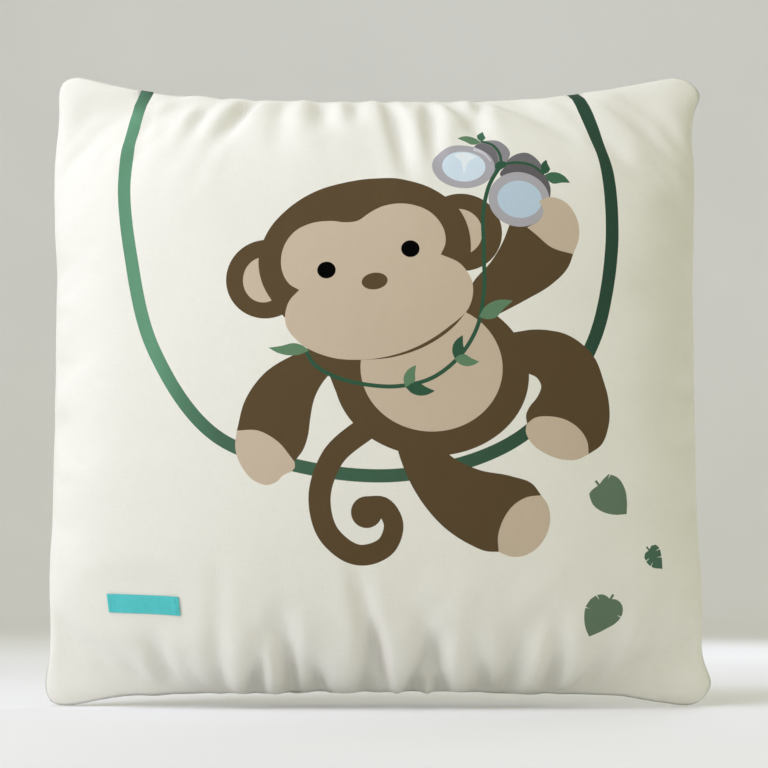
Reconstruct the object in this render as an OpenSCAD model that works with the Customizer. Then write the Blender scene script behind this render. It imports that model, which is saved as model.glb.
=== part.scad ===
// Square printed throw cushion: zipped cotton cover over a fibre-filled insert.
// Units are millimetres. X is the width, the printed face looks along -Y, Z is up.
// The origin is under the middle of the cushion, at the height of its two bottom corners.

/* [Cushion] */
// Width of the filled cushion from corner to corner
cushion_w = 440; // [380:1:500]
// Height of the filled cushion from corner to corner
cushion_h = 428; // [380:1:500]
// Thickness of the filled cushion at its middle
cushion_t = 140; // [110:1:180]
// How far the top edge sags between its corners
top_sag = 17; // [8:0.5:24]
// How far the bottom edge rises between its corners
bottom_rise = 19; // [12:0.5:22]
// How far each side pulls in between its corners
side_pull = 4; // [0:0.5:10]
// How far each bottom corner is squashed where the cushion stands on it
foot_flat = 8; // [6:0.5:10]
// How far the middle of the back is flattened by what it leans on
back_flat = 1.5; // [1:0.1:3]

/* [Cover fabric] */
// Thickness of the cotton cover
fabric_t = 0.8; // [0.5:0.1:1.5]
// Width of the overlocked seam allowance inside the edge
seam_w = 3.5; // [3:0.5:4]

/* [Insert] */
// Distance from the edge of the cover to the edge of the insert
insert_edge_gap = 7.5; // [7:0.5:12]
// Distance from the front of the cover to the front of the insert
insert_front_gap = 1.4; // [1.2:0.1:4]
// Distance from the back of the cover to the back of the insert
insert_back_gap = 5; // [5:0.5:12]
// Thickness of the non-woven insert fabric
insert_t = 0.6; // [0.4:0.1:1]

/* [Zip] */
// Height of the zip above the bottom corners
zip_z = 72; // [68:1:80]
// Length of the meshed chain
zip_len = 290; // [240:1:300]
// Width of each zip tape
tape_w = 13; // [11:0.5:15]
// Thickness of the zip tapes
tape_t = 0.7; // [0.5:0.1:0.9]
// Width of the meshed chain
chain_w = 6; // [5:0.5:6.5]
// Depth of the chain
chain_t = 2.4; // [2:0.1:2.6]
// Length of the slider
slider_len = 10; // [9:0.5:12]
// Length of the pull tab
pull_len = 24; // [18:1:32]

/* [Labels] */
// Length of the small woven label on the front
label_w = 49; // [35:1:60]
// Height of the small woven label on the front
label_h = 13.5; // [10:0.5:20]
// Distance of the woven label's middle from the middle of the front
label_x = -151; // [-165:1:-100]
// Height of the woven label's middle
label_z = 67; // [60:1:110]
// Width of the care label on the back
care_w = 22; // [16:1:26]
// Length of the care label on the back
care_h = 30; // [20:1:36]

/* [Hidden] */

half_w = cushion_w / 2;
half_t = cushion_t / 2;
half_h = (cushion_h + foot_flat) / 2;
mid_z = cushion_h - half_h;

// Crown of the filled panels: full in the middle, thin at the seam.
crown_power = 2.3;
crown_soft = 0.62;
// Rounding of the four corners, as the power of a superellipse
corner_power = 26;
// How suddenly the edges sag inside the corners, and where along an edge the sag starts
sag_power = 3;
sag_start = 0.93;
sag_fade = 3;
// Cells along each side of a panel
cells = 22;
cells_inner = 16;

// The zip lies on a circular arc, which the filled back takes along its width.
arc_r = 750;
zip_tilt = 16;
zip_sink = 0.5;
arc_y = (half_t + back_flat) * crown(locate(0, zip_z)[1]) - zip_sink;
arc_c = arc_y - arc_r;
mm_to_deg = 180 / (PI * arc_r);
chain_a = zip_len / 2 * mm_to_deg;
window_half_w = zip_len / 2 + 10;
window_gap = 0.4;
window_half_h = (chain_w / 2 + tape_w) * cos(zip_tilt) + window_gap;
window_a = asin(window_half_w / arc_r);
seam_gap = 0.7;
overlock_t = 0.8;
$fn = 48;
arc_fn = 1080;

// Closing seam of the insert
closing_len = 90;
closing_r = 0.5;
closing_drop = 0.8;
// Fibre inside the insert's case
fill_gap = 2;

// Labels
label_gap = 0.3;
label_t = 0.5;
care_gap = 3;

// Slider
plate_t = 1;
rail_t = 0.9;
play = 0.4;
slider_w = chain_w + 2 * (play + rail_t);
slider_in = chain_t / 2 + play;
slider_out = slider_in + plate_t;
slider_a = chain_a - (slider_len / 2 + 1) * mm_to_deg;
post_w = 0.6;
post_len = 3;
post_x = slider_len / 2 - post_len - 0.5;
coil_gap = 1.2;
bridge_len = 7;
bridge_w = 2;
bridge_bar = 1;
bridge_sunk = 0.1;
pin_r = 0.6;
pin_y = slider_out + play + pin_r;

// Pull tab
pull_w = 6.4;
pull_t = 1;
pull_start = 4.7;
pull_arm_w = 1.5;
pull_hole_r = 1.4;

// Stops at both ends of the chain
stop_gap = 0.1;
stop_split = 0.8;
top_stop_len = 2.2;
top_stop_t = 2.6;
end_stop_len = 3.3;
end_stop_t = 2.8;

// Sewing: rows at these distances from the tape's outer edge, and a bar of thread across each end
stitch_rows_in = [1.5, 5];
stitch_w = 0.5;
stitch_t = 0.35;
stitch_end_a = 0.05;
tack_in = 2.5;
tack_w = 1.6;
tack_t = 0.6;
tack_len = chain_w + 9;

cotton = [0.93, 0.93, 0.88];
thread = [0.90, 0.90, 0.84];
zip_white = [0.88, 0.88, 0.84];
metal = [0.70, 0.71, 0.72];
teal = [0.16, 0.72, 0.72];
satin = [0.96, 0.96, 0.95];
nonwoven = [0.97, 0.97, 0.97];
fibre = [0.99, 0.99, 0.98];

// Cells closer together towards the seam, where the crown falls away
function spaced(i, n) = sin(90 * (2 * i / n - 1));

function crown(s) = pow(max(0, 1 - pow(min(1, abs(s)), crown_power)), crown_soft);

// Pulls the corner of the square in to a rounded one
function corner(u, v) =
    max(abs(u), abs(v)) / pow(pow(abs(u), corner_power) + pow(abs(v), corner_power), 1 / corner_power);

function sag(s) = 1 - pow(min(1, abs(s) / sag_start), sag_power);

// The sag fades quickly from the edge to the middle
function pow_signed(s) = s * pow(abs(s), sag_fade);

// Where on a panel, from -1 to 1 along it and up it, a place below the middle lies
function locate(x, z) =
    let (u = x / half_w, v = (z - mid_z) / half_h)
    [u, v + bottom_rise / half_h * pow_signed(v) * sag(u)];

// Place of a point of the filled shape. gap_edge shrinks it in its plane and gap_t in its thickness,
// and side is -1 for the front and 1 for the back.
function place(u, v, side, gap_edge, gap_t) =
    let (
        k = (u == 0 && v == 0) ? 1 : corner(u, v),
        a = u * k,
        b = v * k,
        x = a * (half_w - gap_edge) - side_pull * pow_signed(a) * sag(b),
        z = b * (half_h - gap_edge) - (b > 0 ? top_sag : bottom_rise) * pow_signed(b) * sag(a)
    )
    [
        x,
        side < 0 ?
            -(half_t - gap_t) * crown(u) * crown(v) :
            min(half_t - gap_t, (half_t + back_flat - gap_t) * crown(u) * crown(v)),
        max(0, gap_edge, mid_z + z)
    ];

function grid(n, side, gap_edge, gap_t) = [
    for (j = [0:n]) for (i = [0:n]) place(spaced(i, n), spaced(j, n), side, gap_edge, gap_t)
];

// Two triangles for each cell of a grid that starts at point `first`, cut towards the middle
function sheet_faces(n, first, flip) = [
    for (j = [0:n - 1]) for (i = [0:n - 1])
        let (
            a = first + j * (n + 1) + i,
            b = a + 1,
            c = a + n + 2,
            d = a + n + 1,
            pair = (i < n / 2) == (j < n / 2) ? [[a, b, c], [a, c, d]] : [[a, b, d], [b, c, d]]
        )
        for (t = pair) flip ? [t[2], t[1], t[0]] : t
];

// Point numbers round the edge of a grid, in order
function rim(n) = concat(
    [for (i = [0:n - 1]) i],
    [for (j = [0:n - 1]) j * (n + 1) + n],
    [for (i = [n:-1:1]) n * (n + 1) + i],
    [for (j = [n:-1:1]) j * (n + 1)]
);

// Strip of triangles between the edges of two grids
function rim_faces(n, first_a, first_b, flip) =
    let (r = rim(n), m = len(r))
    [
        for (k = [0:m - 1])
            let (
                next = r[(k + 1) % m],
                a = first_a + r[k],
                b = first_a + next,
                c = first_b + next,
                d = first_b + r[k]
            )
            for (t = flip ? [[a, b, c], [a, c, d]] : [[a, c, b], [a, d, c]]) t
    ];

// One filled panel: a thin crowned shell whose flat rim lies in the seam plane
module panel(n, side, gap_edge, gap_t, thick) {
    m = (n + 1) * (n + 1);
    polyhedron(
        points = concat(
            grid(n, side, gap_edge, gap_t),
            grid(n, side, gap_edge + thick, gap_t + thick)
        ),
        faces = concat(
            sheet_faces(n, 0, side > 0),
            sheet_faces(n, m, side < 0),
            rim_faces(n, 0, m, side < 0)
        ),
        convexity = 4
    );
}

function on_rim(k, n) =
    let (i = k % (n + 1), j = floor(k / (n + 1)))
    i == 0 || j == 0 || i == n || j == n;

// Closed pillow shape, front and back sharing the seam plane
module pillow(n, gap_edge, gap_front, gap_back) {
    m = (n + 1) * (n + 1);
    back = [
        for (t = sheet_faces(n, 0, true))
            [for (k = t) on_rim(k, n) ? k : k + m]
    ];
    polyhedron(
        points = concat(grid(n, -1, gap_edge, gap_front), grid(n, 1, gap_edge, gap_back)),
        faces = concat(sheet_faces(n, 0, false), back),
        convexity = 4
    );
}

// Ring along the seam line from one inset to another, as thick as `thick`
module seam_ring(n, gap_out, gap_in, thick) {
    r = rim(n);
    m = len(r);
    outer = [for (k = r) place(spaced(k % (n + 1), n), spaced(floor(k / (n + 1)), n), 1, gap_out, 0)];
    inner = [for (k = r) place(spaced(k % (n + 1), n), spaced(floor(k / (n + 1)), n), 1, gap_in, 0)];
    translate([0, thick / 2, 0])
        rotate([90, 0, 0])
            linear_extrude(height = thick)
                difference() {
                    polygon([for (p = outer) [p[0], p[2]]]);
                    polygon([for (p = inner) [p[0], p[2]]]);
                }
}

// Thin patch that lies on the lower half of the cover, clear of it by `gap`
module patch(x0, x1, z0, z1, side, gap, thick, nx, nz) {
    m = (nx + 1) * (nz + 1);
    pts = [
        for (layer = [0, 1]) for (j = [0:nz]) for (i = [0:nx])
            let (
                out = -gap - layer * thick,
                at = locate(x0 + (x1 - x0) * i / nx, z0 + (z1 - z0) * j / nz)
            )
            place(at[0], at[1], side, out, out)
    ];
    quads = [
        for (j = [0:nz - 1]) for (i = [0:nx - 1])
            let (a = j * (nx + 1) + i)
            for (t = [[a, a + 1, a + nx + 2], [a, a + nx + 2, a + nx + 1]]) t
    ];
    loop = concat(
        [for (i = [0:nx - 1]) i],
        [for (j = [0:nz - 1]) j * (nx + 1) + nx],
        [for (i = [nx:-1:1]) nz * (nx + 1) + i],
        [for (j = [nz:-1:1]) j * (nx + 1)]
    );
    k = len(loop);
    sides = [
        for (i = [0:k - 1])
            let (a = loop[i], b = loop[(i + 1) % k])
            for (t = [[a, b + m, b], [a, a + m, b + m]]) t
    ];
    solid = concat(quads, [for (t = quads) [t[2] + m, t[1] + m, t[0] + m]], sides);
    polyhedron(points = pts, faces = [for (t = solid) side > 0 ? t : [t[2], t[1], t[0]]], convexity = 2);
}

// Sweeps a flat profile (distance out from the tape's middle, height up the tape) along the zip
module along_zip(from_a, to_a) {
    translate([0, arc_c, zip_z])
        rotate([0, 0, 90 - to_a])
            rotate_extrude(angle = to_a - from_a, $fn = arc_fn)
                translate([arc_r, 0])
                    rotate(-zip_tilt)
                        children();
}

// Puts a piece on the zip at an angle: its x runs along the chain, its y looks outwards
module on_zip(a) {
    translate([0, arc_c, zip_z])
        rotate([0, 0, -a])
            translate([0, arc_r, 0])
                rotate([-zip_tilt, 0, 0])
                    children();
}

module block(x0, x1, y0, y1, z0, z1) {
    translate([x0, y0, z0])
        cube([x1 - x0, y1 - y0, z1 - z0]);
}

module window() {
    block(-window_half_w, window_half_w, 5, half_t + 20, zip_z - window_half_h, zip_z + window_half_h);
}

module back_half(z0, z1) {
    difference() {
        intersection() {
            panel(cells, 1, 0, 0, fabric_t);
            block(-half_w - 5, half_w + 5, -1, half_t + 5, z0, z1);
        }
        window();
    }
}

module front_panel() {
    color(cotton)
        panel(cells, -1, 0, 0, fabric_t);
}

module back_panel_upper() {
    color(cotton)
        back_half(zip_z, cushion_h + 5);
}

module back_panel_lower() {
    color(cotton)
        back_half(-5, zip_z);
}

// Seam allowances of the front and back, bound together by overlock thread
module seam_overlock() {
    color(thread)
        intersection() {
            seam_ring(cells, fabric_t + seam_gap, fabric_t + seam_gap + seam_w, overlock_t);
            block(-half_w, half_w, -1, 1, fabric_t + seam_gap, cushion_h);
        }
}

module zip_tape(dir) {
    color(zip_white)
        along_zip(-window_a, window_a)
            translate([-tape_t / 2, dir > 0 ? chain_w / 2 : -chain_w / 2 - tape_w])
                square([tape_t, tape_w]);
}

module zip_tape_upper() {
    zip_tape(1);
}

module zip_tape_lower() {
    zip_tape(-1);
}

// Half of the chain, with its corners cut off
module coil_profile() {
    w = chain_t / 2;
    c = 0.5;
    z0 = coil_gap / 2;
    z1 = chain_w / 2;
    polygon([
        [-w + c, z0], [w - c, z0], [w, z0 + c], [w, z1 - c],
        [w - c, z1], [-w + c, z1], [-w, z1 - c], [-w, z0 + c]
    ]);
}

module zip_coil_upper() {
    color(zip_white)
        along_zip(-chain_a, chain_a)
            coil_profile();
}

module zip_coil_lower() {
    color(zip_white)
        along_zip(-chain_a, chain_a)
            mirror([0, 1])
                coil_profile();
}

module zip_top_stops() {
    color(metal)
        on_zip(chain_a)
            for (z = [-chain_w / 2, stop_split])
                block(stop_gap, stop_gap + top_stop_len, -top_stop_t / 2, top_stop_t / 2,
                    z, z + chain_w / 2 - stop_split);
}

module zip_bottom_stop() {
    color(metal)
        on_zip(-chain_a)
            block(-stop_gap - end_stop_len, -stop_gap, -end_stop_t / 2, end_stop_t / 2,
                -chain_w / 2, chain_w / 2);
}

// Slider: two plates, rails that hold the chain, a dividing post and the bridge for the pull tab
module zip_slider() {
    half = slider_len / 2 * mm_to_deg;
    slot = tape_t / 2 + play;
    color(metal) {
        for (s = [-1, 1])
            along_zip(slider_a - half, slider_a + half) {
                translate([s > 0 ? slider_in : -slider_out, -slider_w / 2])
                    square([plate_t, slider_w]);
                for (z = [-slider_w / 2, slider_w / 2 - rail_t])
                    translate([s > 0 ? slot : -slider_in, z])
                        square([slider_in - slot, rail_t]);
            }
        on_zip(slider_a) {
            block(post_x, post_x + post_len, -slider_in, slider_in, -post_w / 2, post_w / 2);
            bridge();
        }
    }
}

module bridge() {
    top = pin_y + pin_r + play;
    half = bridge_len / 2;
    for (x = [-half, half - bridge_bar])
        block(x, x + bridge_bar, slider_out - bridge_sunk, top, -bridge_w / 2, bridge_w / 2);
    block(-half, half, top, top + bridge_bar, -bridge_w / 2, bridge_w / 2);
}

// Flat disc in the plane of the pull tab
module pull_disc(x, r, thick) {
    translate([x, 0, 0])
        rotate([90, 0, 0])
            cylinder(r = r, h = thick, center = true);
}

// Pull tab: a pin under the bridge, two arms past it and a flat grip that lies back along the chain
module zip_pull_tab() {
    half = pull_w / 2;
    tip = half - pull_len;
    color(metal)
        on_zip(slider_a)
            translate([0, pin_y, 0]) {
                cylinder(r = pin_r, h = pull_w, center = true);
                for (z = [-half, half - pull_arm_w])
                    block(-pull_start, 0, -pull_t / 2, pull_t / 2, z, z + pull_arm_w);
                difference() {
                    union() {
                        block(tip, -pull_start, -pull_t / 2, pull_t / 2, -half, half);
                        pull_disc(tip, half, pull_t);
                    }
                    pull_disc(tip, pull_hole_r, pull_t + 1);
                }
            }
}

// Two rows of stitching that hold a tape to its panel
module stitch_rows(dir) {
    color(thread)
        for (z = stitch_rows_in)
            along_zip(-window_a + stitch_end_a, window_a - stitch_end_a)
                translate([tape_t / 2, dir * (chain_w / 2 + tape_w - z) - stitch_w / 2])
                    square([stitch_t, stitch_w]);
}

module zip_stitching_upper() {
    stitch_rows(1);
}

module zip_stitching_lower() {
    stitch_rows(-1);
}

module zip_bar_tacks() {
    color(thread)
        for (s = [-1, 1])
            on_zip(s * (window_a - tack_in * mm_to_deg))
                block(-tack_w / 2, tack_w / 2, tape_t / 2, tape_t / 2 + tack_t, -tack_len / 2, tack_len / 2);
}

module woven_label() {
    color(teal)
        patch(label_x - label_w / 2, label_x + label_w / 2, label_z - label_h / 2, label_z + label_h / 2,
            -1, label_gap, label_t, 10, 4);
}

// Care label caught in the seam beside the zip
module care_label() {
    x0 = -window_half_w - care_gap - care_w;
    color(satin)
        patch(x0, x0 + care_w, zip_z - care_h, zip_z, 1, label_gap, label_t, 6, 8);
}

module insert_front() {
    color(nonwoven)
        panel(cells_inner, -1, insert_edge_gap, insert_front_gap, insert_t);
}

module insert_back() {
    color(nonwoven)
        panel(cells_inner, 1, insert_edge_gap, insert_back_gap, insert_t);
}

// Thread that closes the filling opening at the bottom edge of the insert
module insert_closing_seam() {
    color(thread)
        translate([0, 0, mid_z - half_h + insert_edge_gap + bottom_rise - closing_drop])
            rotate([0, 90, 0])
                cylinder(r = closing_r, h = closing_len, center = true);
}

module fibre_fill() {
    color(fibre)
        pillow(
            cells_inner,
            insert_edge_gap + fill_gap,
            insert_front_gap + fill_gap,
            insert_back_gap + fill_gap
        );
}

front_panel();
back_panel_upper();
back_panel_lower();
seam_overlock();
zip_tape_upper();
zip_tape_lower();
zip_coil_upper();
zip_coil_lower();
zip_top_stops();
zip_bottom_stop();
zip_slider();
zip_pull_tab();
zip_stitching_upper();
zip_stitching_lower();
zip_bar_tacks();
woven_label();
care_label();
insert_front();
insert_back();
insert_closing_seam();
fibre_fill();
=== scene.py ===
"""Printed throw cushion: simulated cover, printed front, zipped back, labels, pad, stage, lights, camera."""

import math

import bpy
import numpy as np
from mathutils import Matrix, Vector
from mathutils.bvhtree import BVHTree
from mathutils.geometry import delaunay_2d_cdt


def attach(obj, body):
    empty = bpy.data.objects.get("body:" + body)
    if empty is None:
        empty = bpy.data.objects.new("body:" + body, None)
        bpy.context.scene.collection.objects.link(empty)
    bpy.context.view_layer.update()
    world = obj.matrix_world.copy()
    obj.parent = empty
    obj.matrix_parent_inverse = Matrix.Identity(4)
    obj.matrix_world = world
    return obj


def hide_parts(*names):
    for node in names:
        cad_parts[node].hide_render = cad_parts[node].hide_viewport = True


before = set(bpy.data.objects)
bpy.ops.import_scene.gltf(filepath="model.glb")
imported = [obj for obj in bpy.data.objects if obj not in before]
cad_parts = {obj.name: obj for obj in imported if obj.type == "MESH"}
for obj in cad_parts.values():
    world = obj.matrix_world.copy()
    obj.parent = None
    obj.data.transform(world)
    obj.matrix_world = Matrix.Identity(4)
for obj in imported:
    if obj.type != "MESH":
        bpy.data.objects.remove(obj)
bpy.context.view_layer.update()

# ---- Sizes, in metres ----

HALF_W = 0.220          # half of the cover's width
HALF_T = 0.070          # half of the thickness
HALF_H = 0.2120         # half of the nominal height
MID_Z = 0.2105          # height of the cover's middle above the floor
TOP_SAG = 0.0180        # how far the top edge sinks between its corners
BOTTOM_RISE = 0.0055    # how far the bottom edge arches between its corners
BOTTOM_STEP = 0.0050    # how far it steps up next to each corner
SIDE_PULL = 0.0035      # how far the sides pull in
TOP_LIFT = 0.0050       # how far the plump top edge stands above the plain shape
CORNER_CUT = 0.0215     # share of the half width that the round corners cut off
CORNER_REACH = 12       # how gently the rounding begins
BULGES = [(1, 1, 0.0044, 0.055, 0.040), (1, 1, -0.0020, 0.19, 0.08), (1, -1, 0.0044, 0.080, 0.045),
          (1, -1, -0.0018, 0.22, 0.10), (-1, -1, 0.0010, 0.085, 0.045), (-1, -1, -0.0040, 0.23, 0.17),
          (-1, 1, -0.0028, 0.12, 0.12)]
# the sides' bulges and hollows: side, end, size, place as a share in from the corner, and spread
BACK_FLAT = 0.0015      # the back's crown is cut flat by this much
CROWN_POWER = 2.3
CROWN_SOFT = 0.62
SAG_START = 0.93
FABRIC_HALF = 0.225     # half of the flat cover, from seam to seam
PRINT_X = 0.0022        # place of the artwork's origin
PRINT_Z = 0.210
LABEL_X = -0.1514       # the woven label's middle, from the artwork's origin
LABEL_Z = -0.1425
SEAM_GAP = 0.0003       # half of the gap between the two panels at the seam
ALLOWANCE = 0.012       # seam allowance folded inside the cover

ZIP_Z = 0.072           # height of the zip's middle line
ZIP_TILT = math.radians(16)
ZIP_RADIUS = 0.750      # radius of the arc that the chain follows
ARC_Y = -0.696671       # where that arc's axis stands
ZIP_HALF = 0.145        # half of the chain's length
TACK_X = 0.1520         # where the bar tacks close the zip's ends
OPENING_X = 0.1515      # half of the opening cut in the back for the zip
OPENING_Z = 0.0055      # half of its height
FABRIC = 0.0005         # thickness of the cover's cloth

CAMERA_PLACE = (0.0062, -1.2432, 0.0840)
CAMERA_PITCH = math.radians(96)
CAMERA_LENS = 86.7      # focal length in millimetres

SIM_CELLS = 132         # cells along each side of the simulated cover
SIM_SCALE = 10          # the cloth solver works at ten times the size
WRINKLE_GAIN = 1.1      # share of the simulated wrinkles that is kept
FRONT_CELLS = 176       # cells along each side of the finished front
BACK_CELLS = 148


# ---- The cover's plain shape ----

def step_up(value, start, end):
    f = np.clip((value - start) / (end - start), 0, 1)
    return f * f * (3 - 2 * f)


def crown(s):
    return np.maximum(0.0, 1 - np.abs(s) ** CROWN_POWER) ** CROWN_SOFT


def sag(s):
    return 1 - np.minimum(1.0, np.abs(s) / SAG_START) ** 3


def pillow(u, v, side):
    """The cover's smooth shape; u and v run from -1 to 1 across it, side is -1 in front and 1 at the back."""
    power = 1 / CORNER_CUT - 1 - CORNER_REACH
    a = u * (1 - CORNER_CUT * np.abs(u) ** CORNER_REACH * np.abs(v) ** power)
    b = v * (1 - CORNER_CUT * np.abs(v) ** CORNER_REACH * np.abs(u) ** power)
    x = a * HALF_W - SIDE_PULL * a * np.abs(a) ** 3 * sag(b)
    for across, up, size, place, spread in BULGES:
        lobe = np.exp(-((1 - b * up - place) / spread) ** 2) * np.maximum(0, a * across) ** 14
        x = x + across * size * lobe
    rise = BOTTOM_RISE * (1 - a ** 2) + BOTTOM_STEP * (1 - step_up(np.abs(a), 0.72, 0.97))
    ends = np.where(b > 0, TOP_LIFT * np.abs(b) ** 3 - TOP_SAG * b ** 4 * sag(a), rise * b ** 4)
    z = np.maximum(0.0, MID_Z + b * HALF_H + ends)
    bulge = crown(u) * crown(v)
    y = np.minimum(HALF_T, (HALF_T + (BACK_FLAT if side > 0 else 0)) * bulge)
    return np.stack([x, side * y, z], -1)


ARC_STEPS = np.linspace(-1, 1, 2001)
ARC_LENGTHS = np.concatenate([[0], np.cumsum(np.hypot(
    np.diff(ARC_STEPS * HALF_W), np.diff(HALF_T * crown(ARC_STEPS))))])
ARC_LENGTHS = ARC_LENGTHS / ARC_LENGTHS[-1] * 2 - 1


def relax(s, other):
    """Spreads fabric evenly over the crown: from a place along the cloth to one across the panel."""
    return s + (np.interp(s, ARC_LENGTHS, ARC_STEPS) - s) * crown(other)


def smooth_cover(s, t, side):
    """Where the fabric point (s, t) lies before any wrinkle; s and t run from -1 to 1 along the cloth."""
    return pillow(relax(s, t), relax(t, s), side)


# ---- Puckers along the seams ----

def pucker_rows(seed):
    """Gathers at the four seams: (edge, place along it, length, half width, depth, slant, start).
    The start is the share of its length over which a gather deepens. A plan holds the row's two ends,
    the spacing, the length, the depth and the start."""
    rng = np.random.default_rng(seed)
    rows = []
    plans = {"top": (-0.150, 0.090, 0.022, 0.082, 0.0095, 0.42),
             "bottom": (-0.165, 0.175, 0.025, 0.086, 0.0130, 0.20),
             "left": (-0.150, 0.150, 0.055, 0.060, 0.0014, 0.30),
             "right": (-0.150, 0.150, 0.048, 0.080, 0.0024, 0.30)}
    for edge, (low, high, step, reach, depth, start) in plans.items():
        place = low
        while place < high:
            calm = 1 - 0.65 * float(step_up(abs(place), 0.085, 0.150))
            share = rng.uniform(0.35, 1.0) * calm
            rows.append((edge, place + rng.normal(0, step * 0.16), reach * rng.uniform(0.55, 1.45),
                         step * rng.uniform(0.17, 0.26), depth * share, rng.normal(0, 0.18), start))
            place += step * rng.uniform(0.75, 1.3)
    return rows


def puckers(s, t, side):
    """How far the gathers push the fabric in (negative) or out along its normal, in metres."""
    along = {"top": s, "bottom": s, "left": t, "right": t}
    inward = {"top": 1 - t, "bottom": 1 + t, "left": 1 + s, "right": 1 - s}
    total = np.zeros_like(s)
    for edge, place, reach, width, depth, slant, start in pucker_rows(7 if side < 0 else 8):
        a, d = along[edge] * FABRIC_HALF, inward[edge] * FABRIC_HALF
        q = np.clip(d / reach, 0, 1)
        fade = (0.2 + 0.8 * step_up(q, 0.0, start)) * (1 - q) ** 1.2 * (1 + q)
        across = (a - place - slant * d) / (width * (1 + 0.7 * q))
        total -= depth * fade * (np.exp(-across ** 2) - 0.42 * np.exp(-(across / 2.1) ** 2))
    return total


# ---- Cloth simulation of the filled cover ----

def cover_grid(cells):
    """Fabric coordinates of a square grid, and the vertex number of each grid point on the two panels."""
    line = np.linspace(-1, 1, cells + 1)
    s, t = np.meshgrid(line, line, indexing="ij")
    number = np.zeros((2, cells + 1, cells + 1), int)
    number[0] = np.arange((cells + 1) ** 2).reshape(cells + 1, cells + 1)
    number[1] = number[0]
    inner = np.arange((cells - 1) ** 2).reshape(cells - 1, cells - 1) + (cells + 1) ** 2
    number[1, 1:-1, 1:-1] = inner
    return s, t, number


def grid_faces(number, side):
    """Quads of one panel; every other one starts at another corner, so that the diagonals alternate."""
    faces = []
    for i in range(number.shape[0] - 1):
        for j in range(number.shape[1] - 1):
            quad = [number[i, j], number[i + 1, j], number[i + 1, j + 1], number[i, j + 1]]
            if (i + j) % 2:
                quad = quad[1:] + quad[:1]
            faces.append([int(n) for n in (quad if side < 0 else quad[::-1])])
    return faces


def normals_of(grid, side):
    du = np.gradient(grid, axis=0)
    dv = np.gradient(grid, axis=1)
    n = np.cross(du, dv) * (1 if side < 0 else -1)
    return n / np.maximum(np.linalg.norm(n, axis=-1, keepdims=True), 1e-9)


def start_shape(s, t, number):
    """The cover before inflation, with its gathers already begun, and the flat cloth it was cut from."""
    count = number.max() + 1
    start, flat = np.zeros((count, 3)), np.zeros((count, 3))
    for index, side in ((1, 1), (0, -1)):
        plain = smooth_cover(s, t, side)
        shape = plain + normals_of(plain, side) * puckers(s, t, side)[..., None] * 1.3
        start[number[index]] = shape
        bow = side * 0.0003 * (1 - s ** 2) * (1 - t ** 2)
        flat[number[index]] = np.stack([s * FABRIC_HALF, bow, t * FABRIC_HALF], -1)
    noise = np.random.default_rng(3).normal(0, 0.0002, (count, 3)) * [0, 1, 1]
    return (start + noise) * SIM_SCALE, flat * SIM_SCALE


def gather_shares(s, t):
    """How much the seams draw the fabric up: 1 on the top and bottom seams, less at the sides."""
    start, slack, stop = (s + 0.72) / 0.1, (0.52 - s) / 0.2, (0.80 - s) / 0.1
    top = np.clip(start, 0, 1) * np.clip(slack, 0.25, 1) * np.clip(stop, 0, 1)
    bottom = np.clip((0.82 - np.abs(s)) / 0.1, 0, 1)
    sides = np.clip((0.75 - np.abs(t)) / 0.1, 0, 1) * 0.35
    near_ends, near_sides = (np.clip(1 - (1 - np.abs(a)) / 0.055, 0, 1) for a in (t, s))
    return np.maximum(near_ends * np.where(t > 0, top, bottom), near_sides * sides)


def cloth_settings(cloth, rest):
    settings = cloth.settings
    settings.rest_shape_key = rest
    settings.quality = 5
    settings.mass = 0.3
    for kind in ("tension", "compression", "shear"):
        setattr(settings, kind + "_stiffness", 5 if kind == "shear" else 25)
        setattr(settings, kind + "_damping", 5)
    settings.bending_stiffness = 0.05
    settings.bending_damping = 0.5
    settings.air_damping = 4
    settings.use_pressure = True
    settings.uniform_pressure_force = 0.6
    settings.effector_weights.gravity = 0
    settings.vertex_group_shrink = "gather"
    settings.shrink_min = 0.0
    settings.shrink_max = 0.11
    cloth.collision_settings.use_collision = False
    cloth.collision_settings.use_self_collision = False


def simulate_cover(frames=16):
    """Inflates the sewn cover and returns the two panels' points as grids, in metres."""
    s, t, number = cover_grid(SIM_CELLS)
    start, flat = start_shape(s, t, number)
    mesh = bpy.data.meshes.new("cover_simulation")
    mesh.from_pydata(start.tolist(), [], grid_faces(number[0], -1) + grid_faces(number[1], 1))
    body = bpy.data.objects.new("cover_simulation", mesh)
    scene = bpy.context.scene
    scene.collection.objects.link(body)
    body.shape_key_add(name="Basis")
    rest = body.shape_key_add(name="flat")
    rest.data.foreach_set("co", flat.astype(np.float32).ravel())
    gather = body.vertex_groups.new(name="gather")
    for index in (0, 1):
        for place, share in zip(number[index].ravel().tolist(), gather_shares(s, t).ravel().tolist()):
            if share > 0.01:
                gather.add([place], share, "REPLACE")
    cloth_settings(body.modifiers.new("cloth", "CLOTH"), rest)
    for step in range(1, frames + 1):
        scene.frame_set(step)
    done = body.evaluated_get(bpy.context.evaluated_depsgraph_get())
    points = np.zeros(len(done.data.vertices) * 3, np.float32)
    done.data.vertices.foreach_get("co", points)
    points = points.reshape(-1, 3).astype(float) / SIM_SCALE
    scene.frame_set(1)
    bpy.data.objects.remove(body)
    bpy.data.meshes.remove(mesh)
    return [points[number[0]], points[number[1]]]


def blur(grid, sigma):
    """Gaussian blur of a grid of points, mirrored at its edges."""
    reach = int(sigma * 3)
    kernel = np.exp(-0.5 * (np.arange(-reach, reach + 1) / sigma) ** 2)
    kernel /= kernel.sum()
    for axis in (0, 1):
        pad = [(0, 0)] * grid.ndim
        pad[axis] = (reach, reach)
        wide = np.pad(grid, pad, mode="reflect", reflect_type="odd")
        count = grid.shape[axis]
        grid = sum(k * np.take(wide, np.arange(i, i + count), axis=axis) for i, k in enumerate(kernel))
    return grid


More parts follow.
